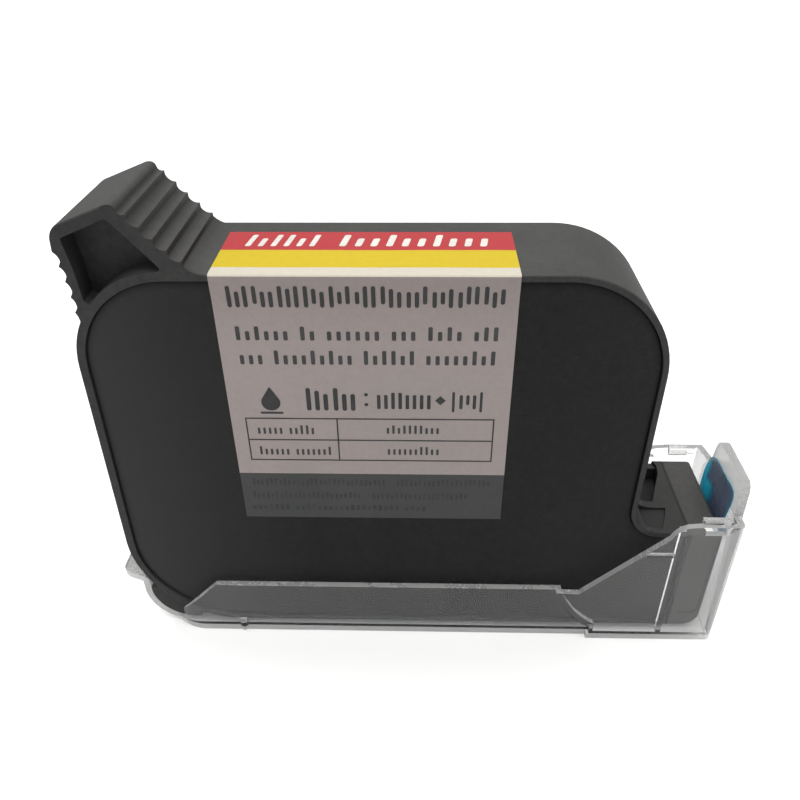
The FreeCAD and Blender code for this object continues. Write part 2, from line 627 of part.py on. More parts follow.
# gate vestige low on the labelled side
tray = tray.fuse(cyl(0.8, 2.8, V(-24.8, -yn + 0.25, 0.6), ZAX))
tray = one(tray)


def corner_pick(x, y, tol=0.05):
    def pick(e):
        if not along(ZAX)(e):
            return False
        p = e.Vertexes[0].Point
        return abs(p.x - (x - X0)) < tol and abs(p.y - y) < tol
    return pick


tray = rounded(tray, 2.6, corner_pick(TRAY_END, yw))
tray = rounded(tray, 1.0, corner_pick(TRAY_END, -yw))
# soften the bottom edges of the end and long sides
bott = [e for e in tray.Edges if abs(e.BoundBox.ZMax) < 1e-6 and e.Length > 8
        and (abs(abs(e.BoundBox.YMin) - yw) < 1e-3 or abs(abs(e.BoundBox.YMin) - yn) < 1e-3
             or abs(e.BoundBox.XMax - (TRAY_END - X0)) < 1e-3) and e.BoundBox.YLength * e.BoundBox.XLength < 1e-3]
for r in (0.8, 0.5, 0.45, 0.4, 0.3):
    try:
        t2 = tray.makeFillet(r, bott)
        if t2.isValid():
            tray = t2
            print("tray bottom fillet ok", r, len(bott))
            break
    except Exception as ex:
        print("tray bottom fillet", r, ex)
clear_tray = one(tray)

# -------------------------------------------------------------------- output
PARTS = [
    ("clear_tray", clear_tray),
    ("case_frame", case_frame),
    ("front_cover", front_cover),
    ("back_cover", back_cover),
    ("inner_liner", inner_liner),
    ("front_ink_film", front_ink_film),
    ("back_ink_film", back_ink_film),
    ("front_edge_guard", front_edge_guard),
    ("back_edge_guard", back_edge_guard),
    ("front_pressure_plate", front_pressure_plate),
    ("back_pressure_plate", back_pressure_plate),
    ("bow_spring", bow_spring),
    ("filter_carrier", filter_carrier),
    ("front_filter_screen", front_filter_screen),
    ("back_filter_screen", back_filter_screen),
    ("outlet_seal", outlet_seal),
    ("nose_piece", nose_piece),
    ("printhead_die", printhead_die),
    ("nozzle_plate", nozzle_plate),
    ("encapsulant_beads", encapsulant_beads),
    ("flex_circuit", flex_circuit),
    ("contact_pads", contact_pads),
    ("fill_plug", fill_plug),
    ("wrap_label", wrap_label),
    ("nozzle_tape", nozzle_tape),
]
for name, shape in PARTS:
    save(name, shape)
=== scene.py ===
import math
import random

import bmesh
import bpy
from mathutils import Matrix, Vector


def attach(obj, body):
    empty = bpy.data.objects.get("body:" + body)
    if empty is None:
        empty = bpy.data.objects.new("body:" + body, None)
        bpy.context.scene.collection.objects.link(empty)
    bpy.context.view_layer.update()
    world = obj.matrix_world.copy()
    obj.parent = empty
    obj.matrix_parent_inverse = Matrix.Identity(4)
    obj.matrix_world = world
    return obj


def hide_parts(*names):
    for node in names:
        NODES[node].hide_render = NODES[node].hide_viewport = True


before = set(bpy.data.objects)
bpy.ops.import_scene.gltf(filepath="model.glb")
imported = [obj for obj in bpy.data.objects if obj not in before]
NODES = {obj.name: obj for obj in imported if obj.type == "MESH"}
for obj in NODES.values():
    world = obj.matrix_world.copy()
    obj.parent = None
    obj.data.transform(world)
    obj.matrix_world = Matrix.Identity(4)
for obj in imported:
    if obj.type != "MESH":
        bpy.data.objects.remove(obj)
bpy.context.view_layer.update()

MM = 0.001
scene = bpy.context.scene
random.seed(7)


# =====================================================================
# camera, light, floor
# =====================================================================
R = [[0.9995947896808651, 0.0268741099507549, -0.009382891730252802],
     [0.008273889416371421, -0.5897091857527876, -0.8075732901679636],
     [-0.02723599083552069, 0.807168420128748, -0.5896925829193279]]
CAM_AT = Vector((0.30, -109.36, 113.38)) * MM

cam_data = bpy.data.cameras.new("camera")
cam = bpy.data.objects.new("camera", cam_data)
scene.collection.objects.link(cam)
cam_data.sensor_width = 36.0
cam_data.sensor_fit = "HORIZONTAL"
cam_data.lens = 783.15 / 800.0 * 36.0
cam_data.shift_y = 0.0625
cam_data.clip_start = 0.005
cam_data.clip_end = 20.0
rot = Matrix(((R[0][0], -R[1][0], -R[2][0]),
              (R[0][1], -R[1][1], -R[2][1]),
              (R[0][2], -R[1][2], -R[2][2])))
cam.matrix_world = Matrix.Translation(CAM_AT) @ rot.to_4x4()
scene.camera = cam

world = bpy.data.worlds.new("studio")
scene.world = world
world.use_nodes = True
wn = world.node_tree
wn.nodes.clear()
w_out = wn.nodes.new("ShaderNodeOutputWorld")
w_bg = wn.nodes.new("ShaderNodeBackground")
w_co = wn.nodes.new("ShaderNodeTexCoord")
w_sep = wn.nodes.new("ShaderNodeSeparateXYZ")
w_ramp = wn.nodes.new("ShaderNodeValToRGB")
w_ramp.color_ramp.elements[0].position = 0.0
w_ramp.color_ramp.elements[0].color = (0.46, 0.46, 0.465, 1)
w_ramp.color_ramp.elements[1].position = 0.75
w_ramp.color_ramp.elements[1].color = (1.0, 0.995, 0.985, 1)
w_bg.inputs["Strength"].default_value = 0.98
wn.links.new(w_co.outputs["Generated"], w_sep.inputs[0])
wn.links.new(w_sep.outputs["Z"], w_ramp.inputs[0])
wn.links.new(w_ramp.outputs[0], w_bg.inputs["Color"])
wn.links.new(w_bg.outputs[0], w_out.inputs["Surface"])


def area(name, loc, target, size, power, colour=(1, 1, 1), size_y=None):
    d = bpy.data.lights.new(name, "AREA")
    d.energy = power
    d.color = colour
    d.size = size
    if size_y:
        d.shape = "RECTANGLE"
        d.size_y = size_y
    o = bpy.data.objects.new(name, d)
    scene.collection.objects.link(o)
    o.location = Vector(loc)
    o.rotation_euler = (Vector(target) - Vector(loc)).to_track_quat("-Z", "Y").to_euler()
    return o


area("key_top", (-0.25, 0.30, 1.50), (0.0, 0.0, 0.03), 1.50, 16.0, (1.0, 0.995, 0.98), 1.20)
floor_fill = area("floor_fill", (0.03, -0.36, 0.85), (0.03, -0.30, 0.0), 0.80, 0.80, (1.0, 1.0, 1.0), 0.42)
floor_fill.data.spread = math.radians(75)

scene.view_settings.view_transform = "Standard"
scene.view_settings.look = "None"
scene.view_settings.exposure = 0.0
scene.view_settings.gamma = 1.0


# =====================================================================
# node helpers
# =====================================================================
class Mat:
    """A small builder for node materials in object space (metres)."""

    def __init__(self, name):
        self.m = bpy.data.materials.new(name)
        self.m.use_nodes = True
        self.t = self.m.node_tree
        self.t.nodes.clear()
        self.out = self.t.nodes.new("ShaderNodeOutputMaterial")
        self.p = self.t.nodes.new("ShaderNodeBsdfPrincipled")
        self.t.links.new(self.p.outputs[0], self.out.inputs["Surface"])
        self.co = self.t.nodes.new("ShaderNodeTexCoord").outputs["Object"]

    def n(self, kind, **kw):
        node = self.t.nodes.new(kind)
        for k, v in kw.items():
            setattr(node, k, v)
        return node

    def put(self, socket, value):
        if isinstance(value, bpy.types.NodeSocket):
            self.t.links.new(value, socket)
        elif isinstance(value, (tuple, list)) and len(value) == 3 and socket.type == "RGBA":
            socket.default_value = (*value, 1)
        else:
            socket.default_value = value

    def math(self, op, a, b=None, c=None, clamp=False):
        node = self.n("ShaderNodeMath", operation=op)
        node.use_clamp = clamp
        self.put(node.inputs[0], a)
        if b is not None:
            self.put(node.inputs[1], b)
        if c is not None:
            self.put(node.inputs[2], c)
        return node.outputs[0]

    def noise(self, scale, detail=2.0, rough=0.5, coords=None, distortion=0.0):
        node = self.n("ShaderNodeTexNoise")
        self.put(node.inputs["Vector"], coords or self.co)
        node.inputs["Scale"].default_value = scale
        node.inputs["Detail"].default_value = detail
        node.inputs["Roughness"].default_value = rough
        node.inputs["Distortion"].default_value = distortion
        return node.outputs["Fac"]

    def voronoi(self, scale, feature="F1", coords=None, randomness=1.0):
        node = self.n("ShaderNodeTexVoronoi", feature=feature)
        self.put(node.inputs["Vector"], coords or self.co)
        node.inputs["Scale"].default_value = scale
        node.inputs["Randomness"].default_value = randomness
        return node.outputs["Distance"]

    def stretch(self, sx, sy, sz):
        node = self.n("ShaderNodeMapping")
        self.put(node.inputs["Vector"], self.co)
        node.inputs["Scale"].default_value = (sx, sy, sz)
        return node.outputs[0]

    def xyz(self):
        node = self.n("ShaderNodeSeparateXYZ")
        self.put(node.inputs[0], self.co)
        return node.outputs

    def ramp(self, fac, stops):
        node = self.n("ShaderNodeValToRGB")
        self.put(node.inputs[0], fac)
        cr = node.color_ramp
        while len(cr.elements) < len(stops):
            cr.elements.new(0.5)
        for e, (pos, colour) in zip(cr.elements, stops):
            e.position = pos
            e.color = (*colour, 1) if len(colour) == 3 else colour
        return node.outputs[0]

    def remap(self, fac, a, b, c, d):
        node = self.n("ShaderNodeMapRange")
        self.put(node.inputs["Value"], fac)
        for k, v in zip(("From Min", "From Max", "To Min", "To Max"), (a, b, c, d)):
            node.inputs[k].default_value = v
        return node.outputs[0]

    def mix(self, fac, a, b, blend="MIX"):
        node = self.n("ShaderNodeMix", data_type="RGBA", blend_type=blend)
        self.put(node.inputs[0], fac)
        self.put(node.inputs[6], a)
        self.put(node.inputs[7], b)
        return node.outputs[2]

    def bump(self, height, strength, distance, normal=None):
        node = self.n("ShaderNodeBump")
        node.inputs["Strength"].default_value = strength
        node.inputs["Distance"].default_value = distance
        self.put(node.inputs["Height"], height)
        if normal is not None:
            self.put(node.inputs["Normal"], normal)
        return node.outputs[0]

    def set(self, **kw):
        names = {"base": "Base Color", "rough": "Roughness", "metal": "Metallic", "normal": "Normal",
                 "spec": "Specular IOR Level", "ior": "IOR", "trans": "Transmission Weight",
                 "coat": "Coat Weight", "coat_rough": "Coat Roughness", "sheen": "Sheen Weight",
                 "aniso": "Anisotropic", "alpha": "Alpha"}
        for k, v in kw.items():
            self.put(self.p.inputs[names[k]], v)
        return self


# =====================================================================
# materials
# =====================================================================
# tops of the steps on the right flank of the handle, model x and z in millimetres
GRIP_RIBS = ((-38.54, 78.10), (-37.02, 76.35), (-35.54, 74.72), (-33.92, 73.15), (-32.20, 71.65))


def plastic(name, dark, light, rough=(0.48, 0.62), grain=5200.0, grain_h=0.035, spec=0.42, wear=0.35, blotch=70.0, up_face_light=0.0,
            lift=0.0, marks=False, seam=False):
    """Moulded plastic with a fine eroded texture, faint flow blotches and lighter handled edges."""
    b = Mat(name)
    broad = b.noise(blotch, 4.0, 0.55)
    fine = b.noise(grain, 3.0, 0.62)
    pits = b.voronoi(grain * 0.62)
    tone = b.ramp(broad, [(0.30, dark), (0.72, light)])
    speck = b.ramp(b.noise(grain * 0.35, 2.0, 0.7), [(0.34, (0.86, 0.86, 0.86)), (0.70, (1.14, 1.14, 1.14))])
    col = b.mix(1.0, tone, speck, "MULTIPLY")
    mott = b.ramp(b.noise(620.0, 3.0, 0.6), [(0.36, (0.90, 0.90, 0.90)), (0.68, (1.10, 1.10, 1.10))])
    col = b.mix(1.0, col, mott, "MULTIPLY")
    motes = b.ramp(b.noise(2600.0, 1.0, 0.5), [(0.755, (0, 0, 0)), (0.80, (1, 1, 1))])
    col = b.mix(b.math("MULTIPLY", motes, 0.10), col, (0.30, 0.30, 0.29))
    geo = b.n("ShaderNodeNewGeometry")
    if wear:
        edge = b.remap(geo.outputs["Pointiness"], 0.52, 0.60, 0.0, wear)
        col = b.mix(edge, col, tuple(min(1.0, c * 2.2 + 0.02) for c in light))
    sep = b.n("ShaderNodeSeparateXYZ")
    b.t.links.new(geo.outputs["Normal"], sep.inputs[0])
    sep_up = sep.outputs[2]
    left_face_shade = b.remap(sep.outputs[0], -0.25, -0.90, 0.0, 1.0)
    if up_face_light:
        # painted top light: faces that look up are painted lighter, a little unevenly
        up = b.remap(sep.outputs[2], 0.25, 1.0, 0.0, 1.0)
        film = b.math("MULTIPLY", up, b.remap(broad, 0.3, 0.7, 0.75, 1.0))
        col = b.mix(b.math("MULTIPLY", film, up_face_light), col, (0.66, 0.66, 0.63))
    if lift:
        # slightly paler towards the two ends of the case
        x = b.xyz()[0]
        side = b.remap(b.math("ABSOLUTE", b.math("ADD", x, 3.0 * MM)), 14.0 * MM, 46.0 * MM, 0.0, lift)
        lean = b.remap(x, -46.0 * MM, 10.0 * MM, 1.0, 0.15)
        col = b.mix(b.math("MULTIPLY", side, lean), col, tuple(c * 2.3 for c in light))
        # painted shade: the cover is darkened along its rolled edge, in the groove beside the rim
        at = b.n("ShaderNodeAttribute")
        at.attribute_name = "edge_nearness"
        col = b.mix(b.math("MULTIPLY", at.outputs["Fac"], 0.42), col, tuple(c * 0.3 for c in dark))
    if marks or seam:
        x, y, z = b.xyz()
        # the parting line where the nose piece meets the case
        line = b.remap(b.math("ABSOLUTE", b.math("SUBTRACT", x, 45.5 * MM)), 0.10 * MM, 0.34 * MM, 1.0, 0.0)
        col = b.mix(b.math("MULTIPLY", line, 0.80), col, (0.008, 0.008, 0.008))
    # with marks set, the case gets painted shade in the latch slot, the square recess, the left flank and under the
    # grip ribs, and a darker land round the slot
    if marks:
        # painted shade in the bottom of the latch slot
        slot_shade = b.math("MULTIPLY", b.remap(z, 23.6 * MM, 23.0 * MM, 0.0, 1.0), b.remap(z, 20.0 * MM, 20.2 * MM, 0.0, 1.0))
        slot_shade = b.math("MULTIPLY", slot_shade, b.math("GREATER_THAN", x, 36.6 * MM))
        slot_shade = b.math("MULTIPLY", slot_shade, b.math("LESS_THAN", x, 44.6 * MM))
        slot_shade = b.math("MULTIPLY", slot_shade, b.math("LESS_THAN", b.math("ABSOLUTE", b.math("SUBTRACT", y, 3.3 * MM)), 5.45 * MM))
        slot_shade = b.math("MULTIPLY", slot_shade, b.remap(sep_up, 0.3, 0.7, 0.0, 1.0))
        col = b.mix(b.math("MULTIPLY", slot_shade, 0.95), col, (0.0075, 0.0075, 0.0075))
        # painted shade on the floor of the shallow square recess beside it
        recess_shade = b.math("MULTIPLY", b.math("LESS_THAN", b.math("ABSOLUTE", b.math("SUBTRACT", z, 23.72 * MM)), 0.08 * MM), b.math("GREATER_THAN", x, 36.4 * MM))
        col = b.mix(b.math("MULTIPLY", recess_shade, 0.45), col, (0.010, 0.010, 0.010))
        # the land around the slot is painted a little darker than the nose
        land = b.math("MULTIPLY", b.math("GREATER_THAN", x, 36.4 * MM), b.math("LESS_THAN", z, 24.4 * MM))
        col = b.mix(b.math("MULTIPLY", land, 0.55), col, (0.020, 0.020, 0.020))
        # painted shade: faces that look along -x, on the left flank, are darkened
        col = b.mix(b.math("MULTIPLY", left_face_shade, 0.45), col, (0.011, 0.011, 0.011))
        # shade that gathers just under each grip rib on the right flank
        s0 = b.math("ADD", b.math("MULTIPLY", x, 0.700), b.math("MULTIPLY", z, -0.714))
        lee = None
        for cx_, cz_ in GRIP_RIBS:
            c0 = (cx_ * 0.700 - cz_ * 0.714) * MM
            d = b.math("SUBTRACT", s0, c0)
            m = b.math("MULTIPLY", b.remap(d, -0.12 * MM, 0.05 * MM, 0.0, 1.0), b.remap(d, 0.16 * MM, 0.62 * MM, 1.0, 0.0))
            lee = m if lee is None else b.math("MAXIMUM", lee, m)
        side = b.math("ADD", b.math("MULTIPLY", x, 0.714), b.math("MULTIPLY", z, 0.700))
        zone = b.math("MULTIPLY", b.math("GREATER_THAN", side, 24.0 * MM), b.math("GREATER_THAN", sep_up, 0.05))
        zone = b.math("MULTIPLY", zone, b.remap(b.noise(900.0, 2.0), 0.30, 0.55, 0.55, 1.0))
        col = b.mix(b.math("MULTIPLY", b.math("MULTIPLY", zone, lee), 0.78), col, (0.008, 0.008, 0.008))
    r = b.remap(b.math("ADD", b.math("MULTIPLY", broad, 0.6), b.math("MULTIPLY", fine, 0.4)), 0.30, 0.70, *rough)
    h = b.math("ADD", b.math("MULTIPLY", fine, 0.65), b.math("MULTIPLY", pits, 0.35))
    nrm = b.bump(h, 0.55, grain_h * MM)
    nrm = b.bump(b.noise(240.0, 2.0, 0.5), 0.10, 0.05 * MM, nrm)
    b.set(base=col, rough=r, normal=nrm)
    if marks:
        # the same faces that look along -x get less specular, as part of the painted shade
        b.t.links.new(b.math("SUBTRACT", spec, b.math("MULTIPLY", left_face_shade, spec * 0.75)), b.p.inputs["Specular IOR Level"])
    else:
        b.p.inputs["Specular IOR Level"].default_value = spec
    return b.m


def metal(name, colour, rough=(0.22, 0.38), brush=(1.0, 1.0, 24.0), aniso=0.4):
    b = Mat(name)
    co = b.stretch(*brush)
    streak = b.noise(900.0, 4.0, 0.6, coords=co)
    col = b.ramp(streak, [(0.30, tuple(c * 0.82 for c in colour)), (0.72, colour)])
    b.set(base=col, rough=b.remap(streak, 0.3, 0.7, *rough), normal=b.bump(streak, 0.18, 0.01 * MM))
    b.p.inputs["Metallic"].default_value = 1.0
    b.p.inputs["Anisotropic"].default_value = aniso
    return b.m


def clear_plastic(name="clear_polystyrene", trans=0.96, rough=(0.02, 0.14), tint=(0.985, 0.988, 0.99), shade=(0.965, 0.968, 0.97), calm=False, spec=0.5, ior=1.50):
    """Polished polystyrene moulding: clear, faintly grey, with flow waviness and light scuffs."""
    b = Mat(name)
    scuff = b.noise(1800.0, 4.0, 0.7, coords=b.stretch(1.0, 1.0, 6.0))
    haze = b.noise(120.0, 3.0, 0.5)
    r = b.math("ADD", b.remap(scuff, 0.55, 0.75, rough[0], rough[1]), b.remap(haze, 0.4, 0.7, 0.0, 0.05))
    nrm = b.bump(b.noise(95.0, 2.0, 0.45), 0.10 if calm else 0.22, 0.05 * MM if calm else 0.10 * MM)
    col = b.ramp(haze, [(0.3, tuple(c * (0.90 if calm else 0.965) for c in tint)), (0.7, tint)])
    b.set(base=col, rough=r, normal=nrm)
    b.p.inputs["IOR"].default_value = ior
    b.p.inputs["Transmission Weight"].default_value = trans
    b.p.inputs["Specular IOR Level"].default_value = spec
    lp = b.n("ShaderNodeLightPath")
    tr = b.n("ShaderNodeBsdfTransparent")
    tr.inputs[0].default_value = (*shade, 1)
    mx = b.n("ShaderNodeMixShader")
    b.t.links.new(lp.outputs["Is Shadow Ray"], mx.inputs[0])
    b.t.links.new(b.p.outputs[0], mx.inputs[1])
    b.t.links.new(tr.outputs[0], mx.inputs[2])
    b.t.links.new(mx.outputs[0], b.out.inputs["Surface"])
    return b.m


def label_material():
    """Printed film label: pale field, dark foot band, and white, yellow and red stripes on the top face."""
    b = Mat("printed_label")
    x, y, z = b.xyz()
    # the front field is painted darker than the top white strip: partly its printed tone, partly painted shade for the
    # front face, which gets less light than the top
    paper = (0.264, 0.227, 0.219)
    fibre = b.noise(3800.0, 4.0, 0.6)
    cloud = b.noise(60.0, 3.0, 0.5)
    field = b.ramp(cloud, [(0.32, (0.244, 0.217, 0.206)), (0.68, paper)])
    # the field is painted a little darker just under the fold
    field = b.mix(b.remap(z, 60.0 * MM, 68.5 * MM, 0.0, 0.55), field, (0.190, 0.159, 0.150))
    band = b.ramp(cloud, [(0.3, (0.036, 0.037, 0.0375)), (0.7, (0.045, 0.0455, 0.046))])
    is_band = b.math("LESS_THAN", z, 36.0 * MM)
    front = b.mix(is_band, field, band)
    # top face stripes, by distance back from the fold
    white = (0.505, 0.465, 0.39)
    yellow = (0.50, 0.372, 0.005)
    red = (0.365, 0.026, 0.031)
    yw = b.math("ADD", y, b.math("MULTIPLY", b.math("SUBTRACT", b.noise(110.0, 2.0), 0.5), 0.35 * MM))
    s1 = b.math("GREATER_THAN", yw, -7.75 * MM)
    s2 = b.math("GREATER_THAN", yw, -1.50 * MM)
    top = b.mix(s1, white, yellow)
    top = b.mix(s2, top, red)
    is_top = b.math("GREATER_THAN", z, 69.9 * MM)
    col = b.mix(is_top, front, top)
    grain = b.ramp(fibre, [(0.35, (0.965, 0.965, 0.965)), (0.68, (1.02, 1.02, 1.02))])
    col = b.mix(1.0, col, grain, "MULTIPLY")
    # faint ink mottling of the print
    mottle = b.ramp(b.noise(900.0, 3.0, 0.6), [(0.30, (0.955, 0.955, 0.955)), (0.72, (1.02, 1.02, 1.02))])
    col = b.mix(1.0, col, mottle, "MULTIPLY")
    r = b.remap(b.math("ADD", b.math("MULTIPLY", fibre, 0.5), b.math("MULTIPLY", cloud, 0.5)), 0.3, 0.7, 0.34, 0.50)
    nrm = b.bump(fibre, 0.25, 0.008 * MM)
    nrm = b.bump(b.noise(140.0, 2.0, 0.5), 0.22, 0.05 * MM, nrm)
    b.set(base=col, rough=r, normal=nrm)
    b.p.inputs["Specular IOR Level"].default_value = 0.14
    b.p.inputs["Coat Weight"].default_value = 0.03
    b.p.inputs["Coat Roughness"].default_value = 0.28
    return b.m


def print_ink(name, colour, rough=0.42):
    """Printed marks: slightly uneven ink lay-down with soft speckle."""
    b = Mat(name)
    sp = b.noise(5200.0, 3.0, 0.65)
    lay = b.noise(420.0, 2.0, 0.5)
    tone = b.math("ADD", b.math("MULTIPLY", sp, 0.5), b.math("MULTIPLY", lay, 0.5))
    hi = tuple(min(1.0, c * 1.18 + 0.012) for c in colour)
    lo = tuple(c * 0.86 for c in colour)
    b.set(base=b.ramp(tone, [(0.32, lo), (0.70, hi)]), rough=b.remap(sp, 0.3, 0.7, rough - 0.06, rough + 0.08),
          normal=b.bump(sp, 0.2, 0.006 * MM))
    b.p.inputs["Specular IOR Level"].default_value = 0.16
    return b.m


def tape_material():
    """Blue polyester pull tape: slate body, painted bright cyan where light comes through low on the far side, and
    painted teal highlights along the edges.
    """
    b = Mat("blue_pull_tape")
    x, y, z = b.xyz()
    at = b.n("ShaderNodeAttribute")
    at.attribute_name = "edge_nearness"
    wob = b.math("MULTIPLY", b.math("SUBTRACT", b.noise(260.0, 2.0), 0.5), 1.6 * MM)
    yy = b.math("ADD", y, wob)
    # painted light: a bright band down the far edge, spreading along the bottom
    far = b.remap(yy, 2.1 * MM, 3.7 * MM, 0.0, 1.0)
    low = b.math("MULTIPLY", b.remap(b.math("ADD", z, wob), 27.3 * MM, 25.6 * MM, 0.0, 1.0), b.remap(yy, -2.2 * MM, 1.2 * MM, 0.0, 1.0))
    glow = b.math("MAXIMUM", far, low)
    glow = b.math("MULTIPLY", glow, b.remap(z, 30.6 * MM, 28.0 * MM, 0.45, 1.0))
    # painted highlight: teal along the edges of the tab
    edge = b.math("MULTIPLY", b.remap(at.outputs["Fac"], 0.35, 0.95, 0.0, 1.0), 0.62)
    glow = b.math("MAXIMUM", glow, edge)
    col = b.ramp(glow, [(0.0, (0.086, 0.113, 0.180)), (0.35, (0.045, 0.125, 0.225)), (0.68, (0.012, 0.265, 0.390)),
                        (1.0, (0.012, 0.480, 0.720))])
    streak = b.noise(700.0, 3.0, 0.6, coords=b.stretch(1.0, 1.0, 0.15))
    col = b.mix(1.0, col, b.ramp(streak, [(0.3, (0.965, 0.97, 0.975)), (0.7, (1.02, 1.015, 1.01))]), "MULTIPLY")
    b.set(base=col, rough=b.remap(streak, 0.3, 0.7, 0.22, 0.36),
          normal=b.bump(b.noise(170.0, 2.0), 0.14, 0.08 * MM))
    b.p.inputs["Specular IOR Level"].default_value = 0.5
    b.p.inputs["Coat Weight"].default_value = 0.2
    b.p.inputs["Coat Roughness"].default_value = 0.16
    return b.m


def film_material(name, colour, rough=(0.12, 0.24)):
    b = Mat(name)
    wr = b.noise(320.0, 4.0, 0.55, distortion=0.6)
    b.set(base=b.ramp(wr, [(0.3, tuple(c * 0.9 for c in colour)), (0.7, colour)]), rough=b.remap(wr, 0.3, 0.7, *rough),
          normal=b.bump(wr, 0.5, 0.15 * MM))
    b.p.inputs["Specular IOR Level"].default_value = 0.6
    b.p.inputs["Coat Weight"].default_value = 0.4
    b.p.inputs["Coat Roughness"].default_value = 0.15
    return b.m


def mesh_screen(name, colour):
    """Woven filter cloth: a fine square weave in relief."""
    b = Mat(name)
    x, y, z = b.xyz()
    wx = b.math("SINE", b.math("MULTIPLY", x, 2 * math.pi / (0.22 * MM)))
    wz = b.math("SINE", b.math("MULTIPLY", z, 2 * math.pi / (0.22 * MM)))
    w = b.math("MULTIPLY", wx, wz)
    b.set(base=b.ramp(b.remap(w, -1, 1, 0, 1), [(0.2, tuple(c * 0.35 for c in colour)), (0.75, colour)]),
          rough=b.remap(w, -1, 1, 0.5, 0.25), normal=b.bump(w, 0.6, 0.03 * MM))
    b.p.inputs["Metallic"].default_value = 1.0
    return b.m


def flex_material():
    """Amber polyimide with copper tracks showing through."""
    b = Mat("amber_polyimide")
    x, y, z = b.xyz()
    tr = b.math("SINE", b.math("MULTIPLY", y, 2 * math.pi / (0.55 * MM)))
    mask = b.remap(tr, 0.1, 0.5, 0.0, 1.0)
    base = b.mix(b.math("MULTIPLY", mask, 0.85), (0.30, 0.115, 0.016), (0.44, 0.20, 0.035))
    fine = b.noise(2400.0, 3.0, 0.6)
    col = b.mix(1.0, base, b.ramp(fine, [(0.3, (0.9, 0.9, 0.9)), (0.7, (1.08, 1.08, 1.08))]), "MULTIPLY")
    b.set(base=col, rough=b.remap(fine, 0.3, 0.7, 0.2, 0.34), normal=b.bump(b.math("ADD", mask, b.math("MULTIPLY", fine, 0.3)), 0.35, 0.02 * MM))
    b.p.inputs["Coat Weight"].default_value = 0.45
    b.p.inputs["Coat Roughness"].default_value = 0.15
    return b.m


def silicon_material():
    b = Mat("polished_silicon")
    ir = b.noise(300.0, 2.0, 0.5)
    b.set(base=b.ramp(ir, [(0.3, (0.10, 0.11, 0.15)), (0.7, (0.17, 0.16, 0.21))]), rough=b.remap(ir, 0.3, 0.7, 0.10, 0.18),
          normal=b.bump(b.noise(2200.0, 2.0), 0.08, 0.01 * MM))
    b.p.inputs["Metallic"].default_value = 0.8
    return b.m


def floor_material():
    b = Mat("pale_sweep")
    n1 = b.noise(6.0, 3.0, 0.5)
    n2 = b.noise(900.0, 3.0, 0.6)
    b.set(base=b.ramp(n1, [(0.3, (0.93, 0.93, 0.93)), (0.7, (0.95, 0.95, 0.95))]),
          rough=b.remap(n2, 0.3, 0.7, 0.6, 0.75), normal=b.bump(n2, 0.05, 0.02 * MM))
    b.p.inputs["Specular IOR Level"].default_value = 0.25
    return b.m


CASE = plastic("case_black", (0.023, 0.023, 0.023), (0.030, 0.030, 0.0297), rough=(0.52, 0.64), grain=3400.0, grain_h=0.032,
               spec=0.15, wear=0.03, up_face_light=0.040, marks=True)
COVER = plastic("cover_black", (0.0095, 0.0095, 0.0095), (0.0125, 0.0125, 0.0125), rough=(0.52, 0.62), grain=7000.0, grain_h=0.014,
                spec=0.09, wear=0.0, lift=0.9)
NOSE = plastic("nose_grey", (0.036, 0.0352, 0.034), (0.044, 0.043, 0.041), rough=(0.42, 0.54), grain=6000.0, grain_h=0.010,
               spec=0.20, wear=0.05, up_face_light=0.012, seam=True)
LINER = plastic("natural_liner", (0.62, 0.62, 0.59), (0.70, 0.70, 0.67), rough=(0.42, 0.55), grain=4000.0, grain_h=0.02, wear=0.0)
CLEAR = clear_plastic(trans=0.995, rough=(0.015, 0.05), spec=0.20, ior=1.37)
# grey-tinted copies of the clear polystyrene for the tray's rims, foot edges, corner and end wall: partly haze, partly
# painted light standing in for the bright reflections along clear edges
HAZE_AND_EDGE_LIGHT = clear_plastic("edge_polystyrene", trans=0.56, rough=(0.14, 0.26), tint=(0.76, 0.76, 0.755), calm=True)
FROST_AND_RIM_LIGHT = clear_plastic("rim_polystyrene", trans=0.42, rough=(0.26, 0.34), tint=(0.46, 0.46, 0.458), calm=True)
CORNER = clear_plastic("corner_polystyrene", trans=0.46, rough=(0.16, 0.26), tint=(0.40, 0.40, 0.398), calm=True)
PANEL = clear_plastic("end_polystyrene", trans=0.84, rough=(0.04, 0.07), tint=(0.66, 0.662, 0.665), calm=True)
LABEL = label_material()
INK_DARK = print_ink("print_dark", (0.022, 0.022, 0.024))
INK_SOFT = print_ink("print_dark_fine", (0.032, 0.031, 0.033))
INK_WHITE = print_ink("print_white", (0.58, 0.54, 0.50))
INK_BAND = print_ink("print_band", (0.024, 0.0245, 0.025))
TAPE = tape_material()
FILM = film_material("ink_film", (0.62, 0.64, 0.66))
GUARD = film_material("edge_guard_film", (0.50, 0.47, 0.38))
STEEL = metal("rolled_steel", (0.60, 0.60, 0.59))
SPRING = metal("spring_steel", (0.42, 0.43, 0.45), rough=(0.18, 0.3), brush=(0.4, 8.0, 8.0))
SCREEN = mesh_screen("filter_mesh", (0.62, 0.62, 0.60))
GOLD = metal("plated_gold", (0.86, 0.62, 0.24), rough=(0.16, 0.28), brush=(6.0, 1.0, 1.0))
NICKEL = metal("nozzle_nickel", (0.82, 0.66, 0.36), rough=(0.14, 0.24), brush=(1.0, 4.0, 1.0), aniso=0.1)
EPOXY = film_material("black_epoxy", (0.030, 0.030, 0.032), rough=(0.10, 0.2))
FLEX = flex_material()
SILICON = silicon_material()
RUBBER = plastic("seal_rubber", (0.030, 0.030, 0.030), (0.038, 0.038, 0.038), rough=(0.68, 0.8), grain=3000.0, wear=0.0)
FLOOR = floor_material()


